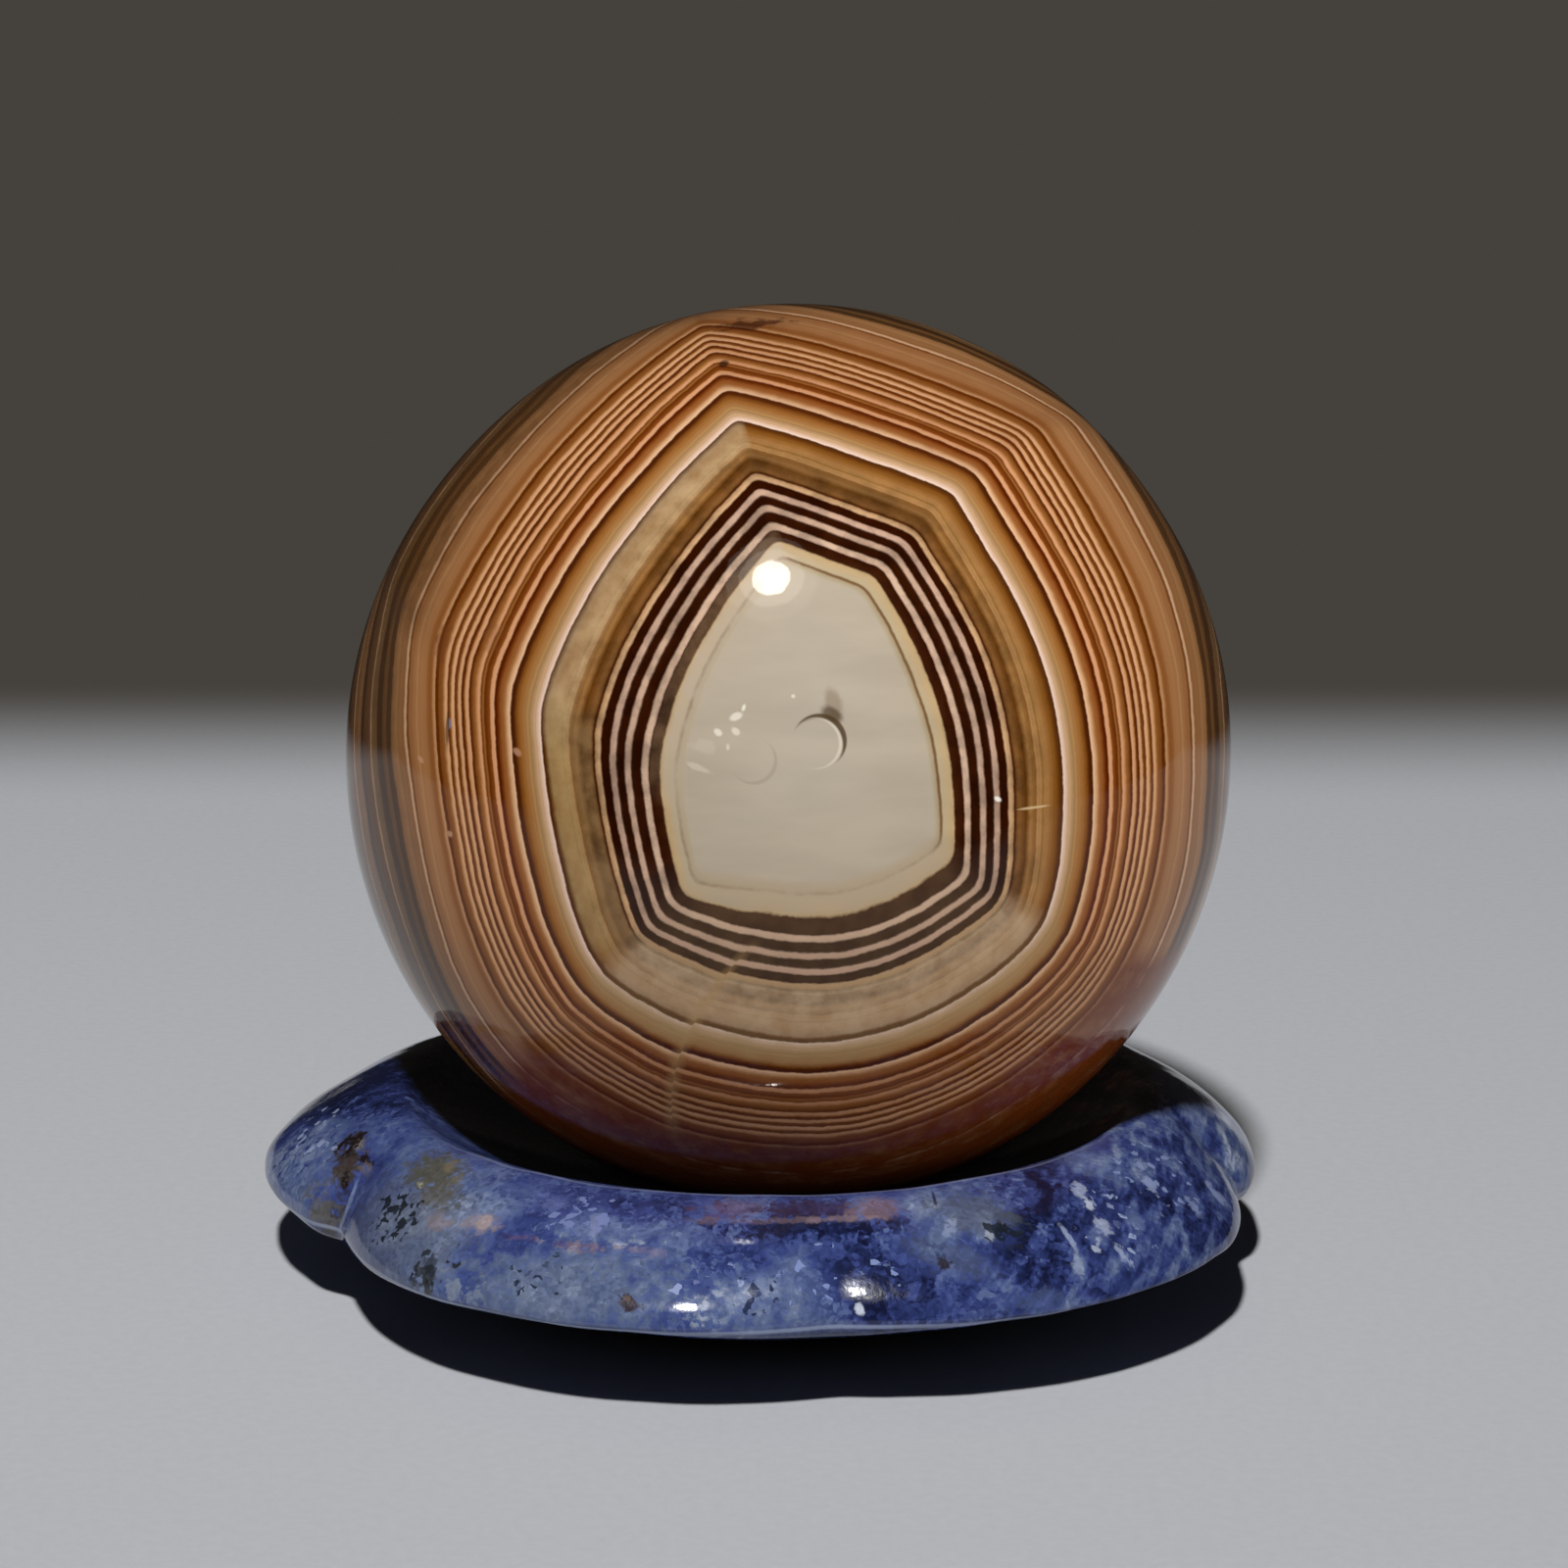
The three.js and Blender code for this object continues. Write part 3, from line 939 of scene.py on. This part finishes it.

# What lies where in the stone, in mm from the middle of the foot and in degrees about Y:
# lighter and darker clouds, stains of iron and grey minerals, and patches of chips.
# A few of them are painted shadow, highlights or sparkle, each marked.
tone_shifts = (  # middle, half sizes, turn, raggedness, how much lighter
    # These two darken the left petal's back: partly the stone's own dark navy, partly the ball's
    # painted shadow.
    ((-25.0, 3.0, 8.0), (4.5, 6.0, 2.6), 0, 2.0, -0.34),
    ((-20.5, -0.5, 9.6), (3.6, 5.0, 1.3), 0, 1.5, -0.34),
    ((-24.0, -4.5, 6.4), (3.4, 4.5, 2.4), 0, 2.0, 0.3),
    ((-18.9, -8.2, 8.9), (2.6, 3.0, 0.9), 20, 2.0, 0.22),
    ((-20.0, -12.2, 6.1), (1.2, 2.0, 1.5), 0, 2.0, -0.08),
    ((-15.5, -15.5, 7.0), (6.0, 6.0, 3.2), 0, 1.5, 0.1),
    ((-11.2, -17.0, 9.1), (2.2, 2.0, 0.7), 0, 2.0, -0.16),
    ((-8.2, -20.7, 8.3), (2.2, 1.6, 0.7), 0, 3.0, 0.22),
    ((-6.1, -20.2, 8.9), (1.4, 1.5, 0.6), 0, 2.0, -0.26),
    ((-9.5, -23.0, 5.9), (6.5, 3.0, 1.6), 0, 2.5, 0.28),
    ((-2.0, -23.2, 7.2), (2.2, 1.6, 0.5), 0, 3.0, -0.16),
    ((1.6, -21.3, 8.5), (3.4, 1.2, 0.42), 0, 2.0, -0.34),
    ((-0.6, -24.2, 5.9), (2.6, 2.0, 1.4), 0, 3.0, 0.24),
    ((0.9, -22.6, 7.6), (1.1, 1.0, 0.7), 0, 2.0, 0.14),
    ((3.9, -23.3, 6.2), (1.9, 2.0, 1.3), 0, 2.5, -0.12),
    ((-4.0, -24.0, 6.4), (2.4, 1.6, 1.2), 0, 3.0, 0.02),
    ((5.2, -20.6, 8.5), (1.1, 1.2, 0.7), 0, 2.0, -0.2),
    ((6.8, -19.3, 9.0), (1.3, 1.2, 0.8), 0, 2.0, 0.14),
    ((6.4, -22.4, 7.0), (2.2, 1.6, 0.9), 20, 2.5, -0.06),
    ((9.3, -19.6, 8.5), (2.2, 1.8, 0.8), 20, 2.0, 0.06),
    ((7.2, -23.9, 5.2), (4.0, 1.6, 0.9), 0, 2.0, -0.1),
    ((12.8, -17.6, 8.5), (1.7, 2.0, 1.1), 20, 2.0, -0.2),
    ((12.7, -20.4, 7.3), (1.6, 1.6, 0.9), 50, 2.0, -0.3),
    ((13.1, -21.4, 6.3), (2.6, 1.6, 0.9), 0, 2.5, -0.08),
    ((17.9, -12.0, 8.8), (2.0, 3.0, 0.8), 20, 2.0, 0.04),
    ((17.3, -8.6, 9.4), (2.6, 3.0, 0.6), 0, 2.0, 0.08),
    ((17.8, -18.6, 6.3), (1.6, 2.4, 1.6), 20, 2.0, 0.1),
    ((20.5, -12.0, 7.0), (2.6, 4.0, 2.0), 20, 2.0, -0.06),
    ((23.3, -3.8, 6.5), (2.6, 4.0, 2.0), 0, 2.0, 0.2),
    ((19.5, 14.0, 7.0), (7.0, 7.0, 3.0), 0, 2.0, -0.22),
    ((2.0, 23.0, 6.5), (8.0, 4.0, 3.0), 0, 2.5, 0.2),
    ((-15.5, 17.0, 7.0), (6.0, 6.0, 3.0), 0, 2.0, -0.12),
)
stains_and_painted_light = (  # middle, half sizes, turn, raggedness, strength, tone
    ((-17.5, -15.6, 6.3), (4.6, 5.0, 2.8), 0, 1.0, 0.5, "5A6068"),
    ((-10.0, -23.0, 5.7), (6.0, 3.0, 1.7), 0, 1.0, 0.45, "545F74"),
    ((9.7, -19.4, 8.5), (2.2, 1.6, 0.9), 20, 1.6, 0.65, "545E6C"),
    ((8.4, -21.9, 7.2), (2.2, 1.4, 0.6), 20, 1.6, 0.3, "66707A"),
    ((-16.3, -13.4, 8.7), (1.9, 1.7, 0.7), 0, 1.6, 0.9, "545244"),
    ((-16.1, -15.2, 8.1), (1.7, 1.4, 0.7), 20, 2.0, 0.8, "5C5A52"),
    ((-17.2, -14.2, 8.3), (0.3, 0.5, 0.14), 20, 3.0, 0.7, "A8A494"),
    ((-15.6, -13.3, 9.0), (0.3, 0.5, 0.2), 20, 3.0, 0.5, "84745A"),
    ((-14.9, -14.6, 8.6), (0.5, 0.5, 0.25), 20, 3.0, 0.35, "7E7668"),
    ((-15.9, -17.2, 7.3), (1.1, 0.9, 0.34), 0, 3.0, 0.6, "8C8084"),
    ((-13.8, -18.4, 7.7), (1.1, 0.9, 0.36), 0, 3.0, 0.55, "9A8C90"),
    ((-13.6, -18.5, 7.75), (0.4, 0.5, 0.22), 0, 3.0, 0.6, "B4A29E"),
    ((-8.9, -21.7, 7.6), (1.3, 0.8, 0.16), 0, 3.0, 0.45, "82646A"),
    ((-12.0, -20.6, 7.6), (0.8, 0.8, 0.14), 0, 3.0, 0.35, "846068"),
    ((-6.0, -22.6, 7.6), (1.0, 0.8, 0.12), 0, 4.0, 0.4, "807088"),
    ((-1.5, -20.5, 9.1), (1.7, 1.0, 0.36), 0, 1.8, 0.5, "6A5062"),
    ((2.2, -20.3, 9.0), (2.8, 1.0, 0.34), 0, 1.8, 0.8, "342A44"),
    ((4.9, -20.1, 9.0), (1.2, 1.0, 0.4), 0, 1.8, 0.6, "86707A"),
    ((0.2, -21.05, 8.68), (3.6, 0.6, 0.1), 0, 2.2, 0.3, "8E7880"),
    ((3.6, -20.95, 8.66), (1.6, 0.6, 0.1), 0, 2.2, 0.35, "927E88"),
    ((-20.9, -7.0, 8.2), (0.62, 1.0, 0.4), 20, 2.4, 0.9, "C4BCB0"),
    ((-21.1, -7.2, 7.8), (0.8, 1.4, 1.2), 0, 2.4, 0.9, "3C322E"),
    ((-21.0, -6.7, 8.1), (0.6, 1.0, 0.6), 0, 2.6, 0.95, "1C1416"),
    ((-21.2, -8.4, 7.0), (0.55, 0.9, 0.8), 0, 3.0, 0.85, "443A34"),
    ((-21.2, -8.7, 6.6), (0.2, 0.6, 0.5), 0, 2.0, 0.95, "201818"),
    ((-22.0, -9.4, 5.1), (0.75, 1.1, 1.2), 20, 3.5, 0.85, "3E3A36"),
    ((-22.7, -8.9, 5.4), (1.1, 1.2, 1.0), 0, 3.5, 0.6, "666460"),
    ((-20.3, -8.5, 7.8), (0.5, 0.5, 0.16), 20, 3.0, 0.95, "1E1618"),
    ((-19.7, -8.8, 7.7), (0.3, 0.4, 0.12), 0, 2.0, 0.95, "1E1618"),
    ((-20.1, -9.2, 7.5), (0.55, 0.6, 0.3), 0, 3.0, 0.5, "7C7470"),
    ((-16.2, -19.5, 5.7), (0.26, 0.8, 1.0), 0, 2.5, 0.7, "2A2E30"),
    ((-16.9, -19.5, 4.9), (0.9, 0.8, 0.4), 0, 4.0, 0.7, "30302E"),
    ((-14.0, -20.8, 5.2), (1.0, 0.8, 0.4), 0, 4.5, 0.5, "8A94A4"),
    ((-6.5, -24.5, 5.8), (0.42, 0.6, 0.34), 20, 2.0, 0.9, "3A2E30"),
    ((-6.6, -24.5, 5.95), (0.16, 0.5, 0.1), 20, 2.0, 0.7, "6E5C54"),
    ((11.2, -20.2, 7.85), (0.75, 0.6, 0.3), 20, 3.5, 0.95, "1C2024"),
    ((10.4, -20.5, 7.85), (0.2, 0.5, 0.34), 20, 3.0, 0.8, "9CA4B4"),
    ((8.2, -22.4, 7.0), (0.3, 0.5, 0.24), 20, 3.0, 0.9, "2E2A30"),
    ((7.8, -18.9, 9.1), (0.08, 0.8, 0.4), -25, 1.0, 0.8, "141830"),
    ((14.9, -16.0, 8.55), (0.42, 0.6, 0.22), 50, 3.0, 0.7, "A8B2CC"),
    ((15.3, -16.9, 8.1), (0.3, 0.5, 0.14), 50, 3.0, 0.85, "C0C8DC"),
    ((15.8, -17.8, 7.5), (0.5, 0.7, 0.24), 50, 3.0, 0.75, "A8B2CC"),
    ((15.6, -19.1, 6.9), (0.2, 0.5, 0.3), 20, 3.0, 0.85, "AEB8D0"),
    ((14.2, -19.4, 7.3), (0.7, 0.7, 0.1), 50, 2.0, 0.8, "98A4C4"),
    ((14.6, -20.6, 6.3), (0.3, 0.6, 0.5), 0, 3.0, 0.7, "98A4BC"),
    ((16.7, -19.0, 6.4), (0.6, 0.7, 0.14), 50, 3.0, 0.8, "A0ACCC"),
    ((18.6, -13.3, 7.9), (0.5, 0.7, 0.14), 50, 3.0, 0.8, "96A4CC"),
    ((22.0, -10.2, 6.7), (0.8, 0.9, 0.12), 50, 3.0, 0.8, "94A2CC"),
    ((20.6, -13.0, 6.9), (0.5, 0.7, 0.12), 50, 3.0, 0.7, "8E9CC6"),
    ((-8.3, -20.6, 8.3), (0.3, 0.6, 0.8), 20, 4.0, 0.5, "8C96BC"),
    ((-10.4, -18.7, 8.8), (0.9, 0.8, 0.3), 0, 4.5, 0.5, "6C7AB0"),
    # Painted highlight: a small white spot on the front of the stand where the lamp glints.
    ((4.2, -24.1, 5.3), (0.16, 0.4, 0.22), -25, 2.0, 0.9, "C8D0E0"),
    ((-23.0, -2.4, 7.7), (0.7, 0.8, 0.12), -25, 3.0, 0.7, "8A98BC"),
    # Dark navy over the left petal's back: partly the stone's own colour, partly the ball's painted
    # shadow.
    ((-22.0, 2.4, 8.5), (4.2, 4.2, 1.5), 0, 1.5, 0.7, "10183A"),
    # Painted highlight: a thin pale line along the front-left petal's edge at the left notch.
    ((-20.95, -9.6, 5.8), (0.09, 0.9, 1.7), 20, 0.3, 0.6, "8A98BC"),
    ((15.5, -13.1, 9.1), (1.6, 1.6, 0.4), 20, 3.0, 0.4, "7080A8"),
    ((12.9, -22.7, 5.1), (1.6, 1.0, 0.5), 0, 3.0, 0.4, "5E6E9C"),
    ((-13.0, 19.0, 8.0), (2.0, 1.6, 0.8), 0, 3.5, 0.8, "8E7A66"),
    ((17.0, 15.0, 7.5), (1.6, 1.6, 0.5), 0, 3.5, 0.8, "B88E78"),
    ((5.0, 24.5, 6.0), (3.0, 1.6, 0.6), 0, 4.5, 0.7, "262A3C"),
)
chips_and_painted_sparkle = (  # middle, half sizes, turn, raggedness, share of the grains, tone
    ((-18.1, -15.0, 6.9), (1.3, 1.6, 1.2), 0, 2.0, 0.55, "171A1E"),
    ((-16.0, -19.4, 6.0), (1.5, 1.4, 1.3), 0, 2.0, 0.3, "262A30"),
    ((-11.0, -22.4, 6.3), (1.8, 1.2, 0.8), 0, 2.0, 0.22, "20283C"),
    ((-9.1, -19.8, 8.4), (1.8, 1.4, 0.6), 0, 2.0, 0.3, "7480B0"),
    ((-0.5, -24.3, 6.1), (1.2, 1.0, 0.7), 0, 2.0, 0.35, "1E2648"),
    # Painted sparkle: pale chips round the lamp's highlight on the front of the stand.
    ((-3.0, -24.2, 6.4), (2.8, 1.2, 0.8), 0, 2.0, 0.11, "98A4CC"),
    ((3.0, -23.3, 6.8), (2.4, 1.6, 1.2), 0, 2.0, 0.14, "8494C4"),
    ((10.9, -20.3, 7.9), (1.1, 0.8, 0.5), 20, 1.5, 0.35, "1C2430"),
    ((16.0, -17.5, 7.6), (2.4, 2.0, 1.6), 50, 2.0, 0.09, "98A6CA"),
    ((18.9, -12.2, 8.1), (2.5, 3.0, 1.2), 50, 2.0, 0.13, "8492BE"),
    ((-23.4, -3.0, 7.2), (2.0, 3.0, 1.0), 0, 2.0, 0.16, "94A2C4"),
    ((14.0, 19.0, 7.0), (4.0, 3.0, 2.0), 0, 2.0, 0.3, "20243A"),
    ((-14.0, 17.0, 7.0), (4.0, 3.0, 2.0), 0, 2.0, 0.25, "98A4C8"),
)
rag = add(
    tree,
    "TexNoise",
    {"Vector": place, "Scale": ragged_edges_per_mm, "Detail": 3.0, "Roughness": 0.6},
)
rag = add(tree, "Math", {0: rag, 1: 0.5}, operation="SUBTRACT")
for grain in grains:
    rag = add(tree, "Math", {0: grain, 1: 0.25, 2: rag}, operation="MULTIPLY_ADD")
tone = clouds
places = turned_places(tree, place, tone_shifts + stains_and_painted_light + chips_and_painted_sparkle)
for tone_shift in tone_shifts:
    share = body_share(tree, places, tone_shift, rag)
    tone = add(tree, "Math", {0: share, 1: tone}, operation="ADD")
tone = add(tree, "Math", {0: grains[0], 1: 0.2, 2: tone}, operation="MULTIPLY_ADD")
tone = add(tree, "Math", {0: grains[1], 1: 0.09, 2: tone}, operation="MULTIPLY_ADD")
on_right = add(tree, "SeparateXYZ", {0: place})
on_right = add(tree, "MapRange", {0: on_right, 1: 5.0, 2: 12.0, 4: 1.1})
slanting = add(tree, "Math", {0: slanting, 1: on_right}, operation="MULTIPLY")
tone = add(tree, "Math", {0: slanting, 1: tone}, operation="ADD")
blue = add(tree, "ValToRGB", {0: tone})
ramp = blue.node.color_ramp
sodalite_tones = (
    (0.0, "151936"),
    (0.14, "1C2449"),
    (0.3, "293362"),
    (0.45, "39457C"),
    (0.58, "4A5887"),
    (0.72, "5D6B92"),
    (0.86, "7884A2"),
    (1.0, "A8B1C6"),
)
for position, hex_colour in sodalite_tones[1:-1]:
    ramp.elements.new(position).color = linear(hex_colour)
ramp.elements[0].color = linear(sodalite_tones[0][1])
ramp.elements[-1].color = linear(sodalite_tones[-1][1])
colour = blue

for tone_mark in stains_and_painted_light:
    share = body_share(tree, places, tone_mark, rag)
    colour = add(
        tree, "Mix", {0: share, 6: colour, 7: linear(tone_mark[5])}, data_type="RGBA"
    ).node.outputs[2]

# Each small grain is a little lighter or darker than the next.
mottle = add(tree, "MapRange", {0: grains[1], 1: -0.4, 2: 0.4, 3: 0.86, 4: 1.12})
colour = add(tree, "VectorMath", {0: colour, "Scale": mottle}, operation="SCALE")

# Chips: single grains that are broken out and dark or that show a bright face, close
# together in the middle of a patch and few at its edge. One pale patch is painted sparkle instead,
# marked in the list.
chip_grains_per_mm = 2.8
cells = add(
    tree, "TexVoronoi", {"Vector": ragged, "Scale": chip_grains_per_mm}
).node.outputs["Position"]
cells = add(tree, "TexWhiteNoise", {"Vector": cells})
for speckle_patch in chips_and_painted_sparkle:
    share = body_share(tree, places, speckle_patch, rag)
    share = add(tree, "Math", {0: share, 1: cells}, operation="SUBTRACT")
    share = add(tree, "MapRange", {0: share, 1: 0.0, 2: 0.06, 4: 0.9})
    colour = add(
        tree, "Mix", {0: share, 6: colour, 7: linear(speckle_patch[5])}, data_type="RGBA"
    ).node.outputs[2]

# Painted shade: the underside, below the petals' edge, is darkened. Painted reflection: a pale line
# along the petals' edge stands for the table mirrored in the rounded edge. Painted highlight: a
# pale line along the crest in front.
painted_light_tone = "A8B4D2"
axes = add(tree, "SeparateXYZ", {0: place}).node
height = axes.outputs["Z"]
from_axis = add(tree, "VectorMath", {0: place, 1: (1, 1, 0)}, operation="MULTIPLY")
from_axis = add(tree, "VectorMath", {0: from_axis}, operation="LENGTH")
painted_underside_shade = add(tree, "MapRange", {0: height, 1: 3.9, 2: 4.4, 3: 0.35, 4: 1.0})
colour = add(tree, "VectorMath", {0: colour, "Scale": painted_underside_shade}, operation="SCALE")
outside = add(tree, "MapRange", {0: from_axis, 1: 18.3, 2: 18.6})
outside = add(tree, "Math", {0: outside, 1: painted_underside_shade}, operation="MULTIPLY")
in_front = add(tree, "MapRange", {0: axes.outputs["Y"], 1: -8.0, 2: -15.0})
in_front = add(tree, "Math", {0: in_front, 1: outside}, operation="MULTIPLY")
# Painted reflection along the petals' edge, then painted highlight along the crest in front.
for along, middle, half_width, strength, where in (
    (height, 4.5, 0.15, 0.6, outside),
    (from_axis, 19.1, 0.22, 0.3, in_front),
):
    painted_light_line = add(tree, "Math", {0: along, 1: middle}, operation="SUBTRACT")
    painted_light_line = add(tree, "Math", {0: painted_light_line}, operation="ABSOLUTE")
    painted_light_line = add(tree, "MapRange", {0: painted_light_line, 1: half_width, 2: half_width / 3, 4: strength})
    painted_light_line = add(tree, "Math", {0: painted_light_line, 1: where}, operation="MULTIPLY")
    colour = add(
        tree, "Mix", {0: painted_light_line, 6: colour, 7: linear(painted_light_tone)}, data_type="RGBA"
    ).node.outputs[2]

# The grains stand up to a hundredth of a millimetre high or low, and sparkle by the lamp.
# The index is sodalite's own.
raised_grains_per_mm = 2.6
grain_relief = 0.01  # mm
polish = add(
    tree, "TexNoise", {"Vector": place, "Scale": raised_grains_per_mm, "Detail": 2.0}
)
polish = add(tree, "Bump", {"Strength": 1.0, "Distance": grain_relief * mm, "Height": polish})
gloss = add(
    tree,
    "BsdfPrincipled",
    {"Base Color": colour, "Roughness": 0.08, "IOR": 1.48, "Normal": polish},
)
add(tree, "OutputMaterial", {"Surface": gloss})
stand.data.materials.append(sodalite)
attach(stand, "root")
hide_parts("sodalite_stand")
